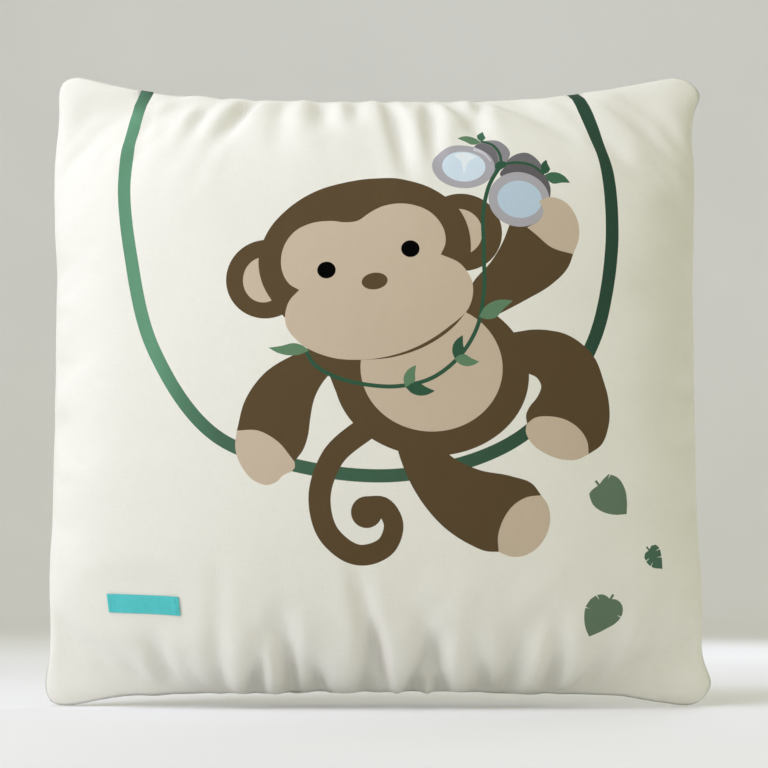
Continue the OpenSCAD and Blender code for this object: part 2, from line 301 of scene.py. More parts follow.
def around_label(points):
    """How much the stitched-down label keeps the fabric flat: 1 at its middle, 0 well away from it."""
    across, up = (points[..., 0] - LABEL_X) / 0.040, (points[..., 2] - PRINT_Z - LABEL_Z) / 0.022
    return np.exp(-across ** 4 - up ** 4)


def cover_panels():
    """The two panels of the cover as grids: the plain shape with its gathers and wrinkles."""
    s, t, _ = cover_grid(SIM_CELLS)
    inflated = simulate_cover()
    panels = []
    for index, side in ((0, -1), (1, 1)):
        plain = smooth_cover(s, t, side)
        out = normals_of(plain, side)
        lift = puckers(s, t, side)
        if inflated:
            change = inflated[index] - plain
            detail = blur(change, 1.0) - blur(change, 12)
            lift = lift + (detail * out).sum(axis=-1) * WRINKLE_GAIN
        if side < 0:
            lift = lift * (1 - 0.85 * around_label(plain))
        room = 0.6 * np.abs(plain[..., 1]) + 0.0006
        shape = plain + out * (room * np.tanh(lift / room))[..., None]
        seam = np.maximum(np.abs(s), np.abs(t)) > 1 - 1e-9
        shape[seam, 1] = 0
        shape[..., 2] = np.maximum(shape[..., 2], 0.0002)
        panels.append(shape)
    middle = (panels[0] + panels[1]) / 2
    for panel in panels:
        panel[seam] = middle[seam]
    return panels


def sample(grid, s, t):
    """Smooth (Catmull-Rom) reading of a panel's grid at any fabric points."""
    cells = grid.shape[0] - 1
    wide = np.pad(grid, ((1, 2), (1, 2), (0, 0)), mode="reflect", reflect_type="odd")

    def weights(f):
        return (-0.5 * f + f ** 2 - 0.5 * f ** 3, 1 - 2.5 * f ** 2 + 1.5 * f ** 3,
                0.5 * f + 2 * f ** 2 - 1.5 * f ** 3, -0.5 * f ** 2 + 0.5 * f ** 3)

    p, q = (s + 1) / 2 * cells, (t + 1) / 2 * cells
    i, j = np.clip(p.astype(int), 0, cells - 1), np.clip(q.astype(int), 0, cells - 1)
    wi, wj = weights(p - i), weights(q - j)
    total = 0
    for a in range(4):
        for b in range(4):
            total = total + (wi[a] * wj[b])[..., None] * wide[i + a, j + b]
    return total


# ---- The printed picture: outlines in millimetres, x to the right and z up from the middle ----

def spline(points, closed=False, step=2.0):
    """A smooth curve through the points, sampled about every step millimetres."""
    p = [np.array(q, float) for q in points]
    n = len(p)
    if n == 2:
        return [tuple(p[0]), tuple(p[1])]
    spans = n if closed else n - 1
    out = []
    for i in range(spans):
        p1, p2 = p[i], p[(i + 1) % n]
        p0 = p[i - 1] if closed or i > 0 else 2 * p1 - p2
        p3 = p[(i + 2) % n] if closed or i + 2 < n else 2 * p2 - p1
        d0, d1, d2 = (max(1e-6, float(np.linalg.norm(b - a))) for a, b in ((p0, p1), (p1, p2), (p2, p3)))
        m1 = ((p1 - p0) / d0 * d1 + (p2 - p1) / d1 * d0) / (d0 + d1) * d1
        m2 = ((p2 - p1) / d1 * d2 + (p3 - p2) / d2 * d1) / (d1 + d2) * d1
        count = max(1, int(round(d1 / step)))
        for f in np.arange(count) / count:
            leave, arrive = f ** 3 - 2 * f ** 2 + f, f ** 3 - f ** 2
            out.append(tuple((2 * f ** 3 - 3 * f ** 2 + 1) * p1 + leave * m1
                             + (-2 * f ** 3 + 3 * f ** 2) * p2 + arrive * m2))
    if not closed:
        out.append(tuple(p[-1]))
    return out


def blob(*points):
    return spline(points, closed=True)


def outline(*runs):
    """A closed outline of smooth runs that meet at corners; each run starts where the one before it ends."""
    out = []
    for run in runs:
        out += spline(run)[:-1]
    return out


def oval(x, z, rx, rz, tilt=0.0):
    count = max(14, int(2 * math.pi * max(rx, rz) / 2.0))
    c, s = math.cos(math.radians(tilt)), math.sin(math.radians(tilt))
    out = []
    for k in range(count):
        a = 2 * math.pi * k / count
        px, pz = rx * math.cos(a), rz * math.sin(a)
        out.append((x + px * c - pz * s, z + px * s + pz * c))
    return out


def band(points, width, taper=1.0):
    """A stroke of the given width along a smooth curve; taper is the share of the width left at its end."""
    line = np.array(spline(points))
    way = np.gradient(line, axis=0)
    way /= np.linalg.norm(way, axis=1, keepdims=True)
    side = np.stack([-way[:, 1], way[:, 0]], -1) * (width / 2) * np.linspace(1, taper, len(line))[:, None]
    return [tuple(q) for q in line + side] + [tuple(q) for q in (line - side)[::-1]]


def leaf(base, tip, lean=1, fat=1.0):
    """A pointed leaf from base to tip, hooked at its tip; lean 1 is fuller on its left side."""
    b, way = np.array(base, float), np.array(tip, float) - np.array(base, float)
    left = np.array([-way[1], way[0]]) * lean * fat
    full = [(0, 0), (0.22, 0.19), (0.5, 0.25), (0.78, 0.17), (1, 0)]
    hook = [(1, 0), (0.68, -0.11), (0.38, -0.25), (0.15, -0.17), (0, 0)]
    return outline(*[[tuple(b + way * f + left * w) for f, w in run] for run in (full, hook)])


def slit(x, z, angle, length=3.2, width=0.9):
    """A thin cut in a leaf, pointing inwards from its edge."""
    a = math.radians(angle)
    way, side = np.array([math.cos(a), math.sin(a)]), np.array([-math.sin(a), math.cos(a)]) * width / 2
    start, end = np.array([x, z]) - way * 0.8, np.array([x, z]) + way * length
    return [tuple(start + side), tuple(start - side), tuple(end)]


def swing_and_tail():
    loop = band([(-156, 222), (-165.5, 182), (-167.5, 138), (-161, 84), (-144, 20), (-101, -37), (-54, -54),
                 (20, -60), (94, -34), (138, 24), (152, 86), (153, 122), (146, 172), (126.5, 222)], 8.4)
    tail = band([(-4, -28), (-29, -50), (-37, -77), (-31, -98), (-11, -111), (6, -104.5), (10, -91),
                 (3, -80.4), (-7, -80)], 15.4, 0.78)
    return [("vine", loop), ("brown", tail), ("brown", oval(-7, -84, 10, 10))]


def limbs():
    left_arm = outline([(-20, 26), (-28, 26), (-52, 17), (-72, 5), (-85, -13), (-90, -32)],
                       [(-90, -32), (-72, -48), (-53, -52)],
                       [(-53, -52), (-47.4, -44.5), (-44.5, -36), (-43, -25), (-40.2, -11.5), (-36, -3),
                        (-31, 3.5)],
                       [(-31, 3.5), (-29.3, -1), (-27.3, -6), (-24.5, -12.5)], [(-24.5, -12.5), (-20, 26)])
    left_hand = outline([(-90, -32), (-77, -32), (-64, -39), (-53, -52)],
                        [(-53, -52), (-52.8, -56), (-55.5, -58.6)],
                        [(-55.5, -58.6), (-60, -60.5), (-64, -64.5), (-70.5, -66.8), (-78, -64.5),
                         (-86.5, -55.5), (-91, -43), (-90, -32)])
    right_leg = outline([(80, 30), (90.3, 31.8), (99, 33.3), (110, 33.2), (121, 31), (132, 24.5), (140, 15.5),
                         (145, 2), (148.5, -12), (148.5, -27), (143.5, -40.5), (135.4, -46.4)],
                        [(135.4, -46.4), (116, -32), (95.4, -27)],
                        [(95.4, -27), (94.9, -22), (97, -17), (102.4, -10), (104.8, -3), (102, 2.2),
                         (96.5, 4.8)],
                        [(96.5, 4.8), (80, 6), (80, 30)])
    right_foot = outline([(95.2, -28), (99.5, -24.2), (111, -22.6), (122.5, -25.4), (130.5, -31.5),
                          (134.6, -38.5), (135.4, -46.4)],
                         [(135.4, -46.4), (128.5, -49.8), (119, -50.2), (107.7, -46.6), (98.5, -40),
                          (94.6, -32), (95.2, -28)])
    leg = outline([(10, -34), (15, -52), (28, -77.5), (44, -95), (59, -104.4), (69, -108.4), (77, -108.8)],
                  [(77, -108.8), (95, -95), (104.4, -73)],
                  [(104.4, -73), (99, -66), (85, -61), (64, -57), (46, -48), (34, -34)],
                  [(34, -34), (10, -34)])
    foot = outline([(77, -108.8), (76.6, -99), (79.5, -89.5), (86, -80), (95.5, -74.2), (104.4, -73)],
                   [(104.4, -73), (108.2, -78), (110.2, -86), (108.2, -97), (101.5, -106.5), (92.5, -111.4),
                    (85, -111.8), (77, -108.8)])
    raised = outline([(50, 40), (63, 66), (72, 76), (81, 91), (86, 104)], [(86, 104), (112, 108), (127, 84)],
                     [(127, 84), (124, 76), (112, 63), (96, 53), (76, 42)], [(76, 42), (50, 40)])
    return [("brown", left_arm), ("tan", left_hand), ("brown", right_leg), ("tan", right_foot),
            ("brown", leg), ("tan", foot), ("brown", raised)]


def trunk_and_head():
    head = blob((-77, 80), (-71, 98), (-57, 114), (-40, 124.6), (-22, 130.2), (2, 133), (22, 131), (42, 122),
                (53, 112), (59, 98), (60, 84), (52, 60), (0, 40), (-55, 36), (-67, 50), (-74, 62))
    face = outline([(-50.5, 58.5), (-56.5, 62), (-61, 69), (-62.4, 80), (-59.5, 90), (-53, 98), (-44, 102.5),
                    (-30, 104.2), (-20, 103.2), (-13, 104.2), (-6, 109), (2, 113.4), (12, 115.4), (24, 114.4),
                    (33, 110.6), (39, 105), (43, 97.5), (43.6, 89), (40.6, 81.8)],
                   [(40.6, 81.8), (53, 76), (61, 63), (59, 48), (45, 34), (22, 20), (-8, 13), (-32, 15),
                    (-50, 24), (-59, 36), (-57, 51), (-50.5, 58.5)])
    chin = outline([(-13, 14), (8, 17), (28, 24), (45, 35), (58.2, 46.2)],
                   [(58.2, 46.2), (50, 35.8), (29.5, 21.2), (9, 14.4), (-13, 12.6)])
    return [("brown", oval(34.5, 3.5, 62.5, 52)), ("tan", oval(34.5, 8, 45.5, 41)),
            ("brown", oval(-72, 66, 26, 26)), ("tan", oval(-73.5, 65.5, 13.5, 15)),
            ("brown", oval(54.5, 97, 26, 26)), ("tan", oval(52.5, 97, 15.2, 15.6)),
            ("brown", head), ("brown", chin), ("tan", face), ("black", oval(-33, 71.4, 6.0, 5.6)),
            ("black", oval(21, 85.4, 6.0, 5.6)), ("brown", oval(-2, 64, 8.4, 5.5, 8))]


def binoculars():
    rear_left = blob((62, 154), (70, 162), (80, 161), (87, 152), (84, 145), (76, 137), (66, 141))
    near_left = blob((62, 154), (69, 160), (77, 155), (79, 145), (77, 137), (66, 141))
    rear_right = blob((84, 145), (90, 151), (98, 153), (106, 147), (109, 139), (96, 130), (86, 136))
    near_right = blob((80, 138), (86, 144), (98, 145), (109, 138), (113, 127), (112, 121), (96, 126))
    hand = outline([(97, 101), (106, 107), (108, 113), (105, 119)],
                   [(105, 119), (112, 122), (121, 120), (130, 108), (131, 95), (127, 84)],
                   [(127, 84), (113, 88), (102, 97), (97, 101)])
    glint = outline([(49, 150), (54, 146), (56, 136)], [(56, 136), (60, 146), (65, 149)],
                    [(65, 149), (57, 152), (49, 150)])
    return [("steel", rear_left), ("steel_dark", near_left), ("steel_dark", rear_right), ("iron", near_right),
            ("silver", oval(56, 142, 20.6, 15.2)),
            ("glint", band([(63, 155), (70, 151.5), (74, 146)], 2.6, 0.3)),
            ("lens_pale", oval(56.2, 142, 14.2, 10.6)), ("lens_glint", glint),
            ("silver", oval(92, 120, 20, 18.7)), ("lens", oval(92.4, 120, 14.6, 12.7)), ("tan", hand)]


def necklace():
    strand = band([(-46, 19), (-41.5, 11), (-32, 4.2), (-22.5, 0.3), (-9, -2.8), (14, -4), (34, 1), (52, 15),
                   (64, 35), (68, 55), (68.5, 85), (69, 115), (73, 130), (81, 144)], 2.6)
    up = band([(81, 144), (80, 152), (75, 159), (68, 162)], 1.9)
    across = band([(81, 144), (92, 145.5), (101, 144), (109, 138)], 1.9)
    knot = blob((76.5, 142), (79, 146), (82, 146.5), (85, 144.5), (81, 140.5), (78, 139.5))
    leaves = [("leaf", (-44, 19), (-70, 21), 1, 0.62), ("leaf", (17.5, -4.5), (24.5, 9.5), 1, 1.0),
              ("vine_dark", (18, -5), (36.5, -7), -1, 0.9), ("vine_dark", (49.5, 13.5), (54.5, 29), 1, 1.0),
              ("leaf", (49, 13.5), (65, 12), -1, 0.95), ("leaf", (65, 41), (87, 52), 1, 0.82),
              ("leaf", (68, 161), (52.5, 162), -1, 0.85), ("vine_mid", (67.5, 162), (70, 171), 1, 1.3),
              ("vine_dark", (109.5, 138), (111, 148.5), 1, 1.2),
              ("vine_mid", (109.5, 137.5), (126, 132.5), 1, 1.0)]
    stems = [("vine_dark", shape) for shape in (strand, up, across, knot)]
    return stems + [(ink, leaf(*shape)) for ink, *shape in leaves]


def fallen_leaves():
    big = outline([(142, -66), (145, -62), (148.4, -58.8)],
                  [(148.4, -58.8), (154, -61), (158.5, -68), (160, -76), (160, -84.4)],
                  [(160, -84.4), (151.5, -84.9), (143.5, -82.8), (138, -78.6), (136, -74)],
                  [(136, -74), (135.6, -71.8), (138, -68.8), (142, -66)])
    small = outline([(174.8, -107.5), (176.6, -104.4), (179.5, -103.8), (181.6, -105.6), (183, -111),
                     (184, -119.4)],
                    [(184, -119.4), (177, -118.4), (173.2, -115.4), (171.6, -112)],
                    [(171.6, -112), (172.1, -109.4), (174.8, -107.5)])
    low = outline([(149.6, -138.8), (153, -138.8), (156.6, -141), (158.2, -144.5), (157.4, -150.4),
                   (154.4, -154.4), (147, -158.6), (136.1, -162)],
                  [(136.1, -162), (133.4, -156.3), (132.4, -149), (133.4, -143), (136.4, -138.6)],
                  [(136.4, -138.6), (141.3, -135.8), (146.5, -136.2), (149.6, -138.8)])
    shapes = [("leaf_print", big), ("leaf_print", band([(139.8, -63.3), (143, -67.5)], 1.6)),
              ("leaf_small", small), ("leaf_small", band([(173.2, -105.2), (175.6, -108.4)], 1.1)),
              ("leaf_print", low), ("leaf_print", band([(151.7, -135.8), (149, -140)], 1.6))]
    cuts = [(149.2, -59.2, -112), (181.9, -106.5, 205), (183, -111.5, 190), (172.7, -114.4, 40),
            (176, -117.8, 65), (157.3, -150.6, 150), (132.9, -143.5, -15), (140.6, -136.4, -55)]
    return shapes + [("cream", slit(x, z, a)) for x, z, a in cuts]


def artwork():
    """Every printed shape in paint order, the lowest first."""
    return swing_and_tail() + limbs() + trunk_and_head() + binoculars() + necklace() + fallen_leaves()


def to_fabric(points):
    """Fabric coordinates of picture points: Newton steps on the smooth front."""
    want = np.array(points, float) / 1000 + [PRINT_X, PRINT_Z]
    s = np.clip(want[:, 0] / HALF_W, -0.97, 0.97)
    t = np.clip((want[:, 1] - MID_Z) / HALF_H, -0.97, 0.97)
    h = 1e-4
    for _ in range(12):
        here = smooth_cover(s, t, -1)[:, [0, 2]]
        ds = (smooth_cover(s + h, t, -1)[:, [0, 2]] - here) / h
        dt = (smooth_cover(s, t + h, -1)[:, [0, 2]] - here) / h
        det = ds[:, 0] * dt[:, 1] - ds[:, 1] * dt[:, 0]
        miss = want - here
        step_s = (miss[:, 0] * dt[:, 1] - miss[:, 1] * dt[:, 0]) / det
        step_t = (ds[:, 0] * miss[:, 1] - ds[:, 1] * miss[:, 0]) / det
        s = np.clip(s + np.clip(step_s, -0.1, 0.1), -0.9985, 0.9985)
        t = np.clip(t + np.clip(step_t, -0.1, 0.1), -0.9985, 0.9985)
    high = want[:, 1] > MID_Z + HALF_H - TOP_SAG * 0.7
    t = np.where(high, 1.0, t)
    return np.stack([s, t], -1)


def inside(px, py, polygon):
    """Which points lie inside a closed polygon."""
    found = np.zeros(len(px), bool)
    x1, y1 = polygon[:, 0], polygon[:, 1]
    x2, y2 = np.roll(x1, -1), np.roll(y1, -1)
    for a, b, c, d in zip(x1, y1, x2, y2):
        if b == d:
            continue
        crosses = ((b > py) != (d > py)) & (px < (c - a) * (py - b) / (d - b) + a)
        found ^= crosses
    return found


def near_outline(s, t, chains, reach):
    """Which grid points lie closer to a printed outline than reach."""
    close = np.zeros(len(s), bool)
    for chain in chains:
        box = (s > chain[:, 0].min() - reach) & (s < chain[:, 0].max() + reach)
        box &= (t > chain[:, 1].min() - reach) & (t < chain[:, 1].max() + reach)
        pick = np.nonzero(box)[0]
        if not len(pick):
            continue
        q = np.stack([s[pick], t[pick]], -1)
        a, b = chain, np.roll(chain, -1, axis=0)
        for start, end in zip(a, b):
            way = end - start
            f = np.clip(((q - start) @ way) / max(1e-12, way @ way), 0, 1)
            close[pick[np.hypot(*(q - start - f[:, None] * way).T) < reach]] = True
    return close


def printed_front(panel):
    """The front panel's points, triangles and the ink of each triangle, cut along the printed outlines."""
    line = np.linspace(-1, 1, FRONT_CELLS + 1)
    s, t = [g.ravel() for g in np.meshgrid(line, line, indexing="ij")]
    shapes = [(ink, to_fabric(points)) for ink, points in artwork()]
    border = np.maximum(np.abs(s), np.abs(t)) > 1 - 1e-9
    keep = border | ~near_outline(s, t, [chain for _, chain in shapes], 0.55 / FRONT_CELLS)
    points = [Vector(p) for p in zip(s[keep], t[keep])]
    edges = []
    for _, chain in shapes:
        base = len(points)
        points += [Vector(p) for p in chain]
        edges += [(base + k, base + (k + 1) % len(chain)) for k in range(len(chain))]
    verts, _, faces, *_ = delaunay_2d_cdt(points, edges, [], 0, 1e-6)
    verts = np.array([(v.x, v.y) for v in verts])
    faces = np.array([f for f in faces])
    corner = verts[faces]
    area = np.cross(corner[:, 1] - corner[:, 0], corner[:, 2] - corner[:, 0])
    faces = faces[np.abs(area) > 1e-10]
    faces = np.where((area[np.abs(area) > 1e-10] < 0)[:, None], faces[:, ::-1], faces)
    middle = verts[faces].mean(axis=1)
    ink = np.array(["cream"] * len(faces), dtype=object)
    for name, chain in shapes:
        low, high = chain.min(0), chain.max(0)
        pick = np.nonzero(np.all((middle > low) & (middle < high), axis=1))[0]
        ink[pick[inside(middle[pick, 0], middle[pick, 1], chain)]] = name
    return verts, faces, ink


# ---- Meshes ----

def new_object(name, points, faces, materials, choice=None, smooth=True):
    mesh = bpy.data.meshes.new(name)
    corners = [tuple(int(i) for i in f) for f in faces]
    mesh.from_pydata([tuple(p) for p in np.asarray(points, float)], [], corners)
    for material in materials:
        mesh.materials.append(material)
    if choice is not None:
        mesh.polygons.foreach_set("material_index", np.asarray(choice, np.int32))
    mesh.polygons.foreach_set("use_smooth", np.full(len(mesh.polygons), smooth))
    mesh.update()
    piece = bpy.data.objects.new(name, mesh)
    bpy.context.scene.collection.objects.link(piece)
    return piece


def weave_map(piece, fabric):
    """Gives the mesh a map in metres of cloth, so that the weave follows the fabric."""
    layer = piece.data.uv_layers.new(name="cloth")
    corners = np.zeros(len(piece.data.loops), np.int32)
    piece.data.loops.foreach_get("vertex_index", corners)
    layer.data.foreach_set("uv", (np.asarray(fabric) * FABRIC_HALF)[corners].astype(np.float32).ravel())


def folded_edge(points, fabric, border, side, closed=True):
    """The seam allowance: the panel's border goes on inside the cover.
    Returns all points, their fabric places and the new quads."""
    count = len(points)
    middle = np.array([0, 0, MID_Z])
    rows = []
    for share, gap in ((0.25, SEAM_GAP * 1.5), (1.0, SEAM_GAP)):
        inner = points[border] + (middle - points[border]) * (ALLOWANCE * share / HALF_W)
        inner[:, 1] = side * gap
        rows.append(inner)
    new_fabric = [fabric[border] * (1 + ALLOWANCE * share / FABRIC_HALF) for share in (0.25, 1.0)]
    ring = [np.asarray(border), np.arange(count, count + len(border)),
            np.arange(count + len(border), count + 2 * len(border))]
    quads = []
    for outer, inner in zip(ring, ring[1:]):
        for k in range(len(border) if closed else len(border) - 1):
            n = (k + 1) % len(border)
            quad = [outer[k], inner[k], inner[n], outer[n]]
            quads.append(quad if side < 0 else quad[::-1])
    return np.concatenate([points] + rows), np.concatenate([fabric] + new_fabric), quads


def border_ring(fabric):
    """Indexes of the border points, in order round the panel, counterclockwise in (s, t)."""
    s, t = fabric[:, 0], fabric[:, 1]
    on = np.nonzero(np.maximum(np.abs(s), np.abs(t)) > 1 - 1e-7)[0]
    angle = np.where(t[on] <= -1 + 1e-7, s[on],
                     np.where(s[on] >= 1 - 1e-7, 2 + t[on] + 1e-3,
                              np.where(t[on] >= 1 - 1e-7, 4 - s[on] + 2e-3, 6 - t[on] + 3e-3)))
    return on[np.argsort(angle)]


# ---- Materials ----

def colour(r, g, b):
    """Display values from 0 to 255 as the linear colour that a shader takes."""
    line = [c / 255 / 12.92 if c <= 10 else ((c / 255 + 0.055) / 1.055) ** 2.4 for c in (r, g, b)]
    return (line[0], line[1], line[2], 1.0)


class Shader:
    """A node material being built: add() makes a node, sets its values and links its inputs."""

    def __init__(self, name, rough=0.85, metal=0.0, material=None):
        self.material = material or bpy.data.materials.new(name)
        self.material.use_nodes = True
        self.tree = self.material.node_tree
        self.base = self.tree.nodes["Principled BSDF"]
        if material:
            return
        self.base.inputs["Roughness"].default_value = rough
        self.base.inputs["Metallic"].default_value = metal

    def add(self, kind, values=None, links=None, **settings):
        node = self.tree.nodes.new(kind)
        for key, value in settings.items():
            setattr(node, key, value)
        for key, value in (values or {}).items():
            node.inputs[key].default_value = value
        for key, socket in (links or {}).items():
            self.tree.links.new(socket, node.inputs[key])
        return node

    def math(self, operation, a, b=None, clamp=False):
        node = self.add("ShaderNodeMath", operation=operation, use_clamp=clamp)
        for index, value in enumerate((a, b)):
            if value is None:
                continue
            if isinstance(value, (int, float)):
                node.inputs[index].default_value = value
            else:
                self.tree.links.new(value, node.inputs[index])
        return node.outputs[0]

    def noise(self, vector, scale, detail=2.0, rough=0.5):
        values = {"Scale": scale, "Detail": detail, "Roughness": rough}
        return self.add("ShaderNodeTexNoise", values, {"Vector": vector}).outputs["Fac"]

    def place(self, cloth=False):
        """Where the pattern is read: on the map of the cloth, or in the piece's own space."""
        if cloth:
            return self.add("ShaderNodeUVMap", uv_map="cloth").outputs["UV"]
        return self.add("ShaderNodeTexCoord").outputs["Object"]

    def axes(self, place):
        return self.add("ShaderNodeSeparateXYZ", links={"Vector": place}).outputs

    def stretch(self, place, *scale):
        return self.add("ShaderNodeMapping", {"Scale": scale}, {"Vector": place}).outputs[0]

    def ribs(self, value, pitch, lean=None, amount=0.0):
        """Waves of a given pitch, bent by another pattern."""
        turns = self.math("MULTIPLY", value, 2 * math.pi / pitch)
        if lean is not None:
            turns = self.math("ADD", turns, self.math("MULTIPLY", lean, amount))
        return self.math("SINE", turns)

    def mix(self, first, second, share, base_share=1.0):
        """The first pattern times its share, plus the second times its own."""
        first, second = (socket if part == 1.0 else self.math("MULTIPLY", socket, part)
                         for socket, part in ((first, share), (second, base_share)))
        return self.math("ADD", first, second)

    def ramp(self, factor, stops):
        node = self.add("ShaderNodeValToRGB", links={"Fac": factor})
        node.color_ramp.elements[0].position, node.color_ramp.elements[0].color = stops[0]
        node.color_ramp.elements[1].position, node.color_ramp.elements[1].color = stops[-1]
        for place, shade in stops[1:-1]:
            node.color_ramp.elements.new(place).color = shade
        return node.outputs["Color"]

    def bump(self, height, strength, distance):
        node = self.add("ShaderNodeBump", {"Strength": strength, "Distance": distance}, {"Height": height})
        self.tree.links.new(node.outputs["Normal"], self.base.inputs["Normal"])
        return node

    def paint(self, socket):
        self.tree.links.new(socket, self.base.inputs["Base Color"])

    def set(self, name, value):
        self.base.inputs[name].default_value = value


def shade_of(rgb, factor):
    return tuple(min(1.0, c * factor) for c in rgb[:3]) + (1.0,)


def woven(name, rgb, sheen=0.12):
    """Plain-weave cloth: crossing threads of uneven thickness, faint mottling, fuzz at grazing angles."""
    pitch, mottle = 0.0006, 0.055
    m = Shader(name, 0.88)
    place = m.place(cloth=True)
    wobble = m.noise(place, 90, 2)
    axes = m.axes(place)
    cross = m.math("MULTIPLY", m.ribs(axes[0], pitch, wobble, 9), m.ribs(axes[1], pitch, wobble, -8))
    slubs = [m.noise(m.stretch(place, *scale), 110, 3, 0.6) for scale in ((1, 14, 1), (14, 1, 1))]
    slub = m.math("ADD", *slubs)
    tone = m.mix(cross, m.mix(slub, m.noise(place, 14, 3, 0.55), 0.45, 0.35), 0.06)
    m.paint(m.ramp(tone, [(0.3, shade_of(rgb, 1 - mottle)), (0.62, rgb), (0.95, shade_of(rgb, 1 + mottle))]))
    m.bump(m.mix(cross, slub, 0.35), 0.34, 0.00025)
    m.set("Sheen Weight", sheen)
    m.set("Sheen Roughness", 0.4)
    m.set("Specular IOR Level", 0.25)
    return m.material


INKS = {"cream": (233, 232, 223), "brown": (91, 74, 50), "tan": (199, 182, 160), "vine": (88, 136, 108),
        "vine_dark": (50, 88, 66), "vine_mid": (66, 108, 82), "leaf": (98, 134, 102),
        "leaf_print": (101, 123, 102), "leaf_small": (77, 110, 91), "black": (6, 5, 5),
        "silver": (172, 170, 176), "steel": (138, 136, 140), "steel_dark": (112, 110, 114),
        "iron": (98, 94, 98), "lens_pale": (208, 224, 236), "lens": (186, 206, 222),
        "lens_glint": (228, 236, 242), "glint": (204, 203, 210)}


def ink_material(name):
    """One ink on the woven cloth; the darker the ink, the less its cloth shines."""
    sheen, shine = {"cream": (0.12, 0.2), "tan": (0.12, 0.2), "black": (0.0, 0.02)}.get(name, (0.05, 0.08))
    material = woven("print_" + name, colour(*INKS[name]), sheen=sheen)
    Shader("", material=material).set("Specular IOR Level", shine)
    return material


def fading_vine():
    """The printed vine fades from light green at its left side to dark green at its right."""
    material = ink_material("vine")
    m = Shader("", material=material)
    weave = m.base.inputs["Base Color"].links[0].from_socket
    axes = m.axes(m.place(cloth=True))
    across = m.math("DIVIDE", m.math("ADD", axes[0], 0.17), 0.32)
    above = m.math("MAXIMUM", m.math("SUBTRACT", axes[1], 0.17), 0.0)
    fade = m.math("ADD", across, m.math("MULTIPLY", above, 3.5), clamp=True)
    greens = [(0.0, (94, 141, 112)), (0.11, (102, 152, 122)), (0.17, (84, 126, 100)), (0.24, (70, 103, 83)),
              (0.55, (61, 92, 72)), (1.0, (39, 63, 50))]
    blend = m.add("ShaderNodeMix", data_type="RGBA")
    blend.inputs[0].default_value = 0.1
    m.tree.links.new(m.ramp(fade, [(stop, colour(*rgb)) for stop, rgb in greens]), blend.inputs[6])
    m.tree.links.new(weave, blend.inputs[7])
    m.paint(blend.outputs[2])
    return material


def thread_material(name, rgb):
    """Twisted sewing thread: slanting plies and a soft shine."""
    m = Shader(name, 0.6)
    place = m.place()
    values = {"Scale": 0.16 / 0.0009, "Distortion": 1.5, "Detail": 1.0}
    wave = m.add("ShaderNodeTexWave", values, {"Vector": place}, wave_type="BANDS",
                 bands_direction="DIAGONAL").outputs["Fac"]
    tone = m.mix(wave, m.noise(place, 700, 2), 0.7, 0.3)
    m.paint(m.ramp(tone, [(0.1, shade_of(rgb, 0.82)), (0.9, shade_of(rgb, 1.06))]))
    m.bump(wave, 0.4, 0.0001)
    m.set("Sheen Weight", 0.3)
    return m.material


def tape_material():
    """Woven zip tape: fine ribs along its length, crossed by weft."""
    rgb = colour(236, 235, 214)
    m = Shader("zip_tape_weave", 0.8)
    place = m.place()
    axes = m.axes(place)
    rib = m.ribs(axes[2], 0.0011)
    weft = m.ribs(axes[0], 0.0008, rib, 1.6)
    tone = m.mix(m.math("ADD", rib, weft), m.noise(place, 260, 3), 0.16)
    m.paint(m.ramp(tone, [(0.15, shade_of(rgb, 0.86)), (0.85, shade_of(rgb, 1.04))]))
    m.bump(m.mix(weft, rib, 0.6), 0.5, 0.00015)
    m.set("Sheen Weight", 0.2)
    return m.material


def coil_material():
    """Polyester monofilament, milky and slightly glossy."""
    rgb = colour(240, 239, 222)
    m = Shader("zip_coil_filament", 0.36)
    place = m.place()
    m.paint(m.ramp(m.noise(place, 240, 3), [(0.25, shade_of(rgb, 0.9)), (0.75, shade_of(rgb, 1.03))]))
    m.bump(m.noise(place, 2200, 2), 0.15, 0.00005)
    m.set("Coat Weight", 0.2)
    m.set("Coat Roughness", 0.3)
    return m.material


def metal_material():
    """Nickel-plated zinc: brushed in faint streaks, duller where fingers wear it."""
    m = Shader("zip_nickel", 0.3, 1.0)
    place = m.place()
    streak = m.noise(m.stretch(place, 1, 9, 9), 420, 3, 0.6)
    worn = m.noise(place, 190, 4, 0.6)
    m.paint(m.ramp(worn, [(0.3, colour(178, 178, 176)), (0.7, colour(206, 205, 201))]))
    rough = m.math("ADD", m.mix(streak, worn, 0.22, 0.2), 0.08)
    m.tree.links.new(rough, m.base.inputs["Roughness"])
    m.bump(m.mix(worn, streak, 0.5), 0.12, 0.00006)
    return m.material


def label_material(name, rgb, pitch, rough, sheen):
    """Label ribbon: satin-woven ribs with a silky shine."""
    m = Shader(name, rough)
    place = m.place()
    axes = m.axes(place)
    rib = m.ribs(axes[2], pitch)
    cross = m.ribs(axes[0], pitch * 1.3, rib, 1.4)
    tone = m.mix(m.math("ADD", rib, cross), m.noise(place, 300, 3), 0.13)
    m.paint(m.ramp(tone, [(0.2, shade_of(rgb, 0.92)), (0.8, shade_of(rgb, 1.05))]))
    m.bump(m.mix(cross, rib, 0.5), 0.3, 0.0001)
    m.set("Sheen Weight", sheen)
    m.set("Sheen Roughness", 0.35)
    return m.material


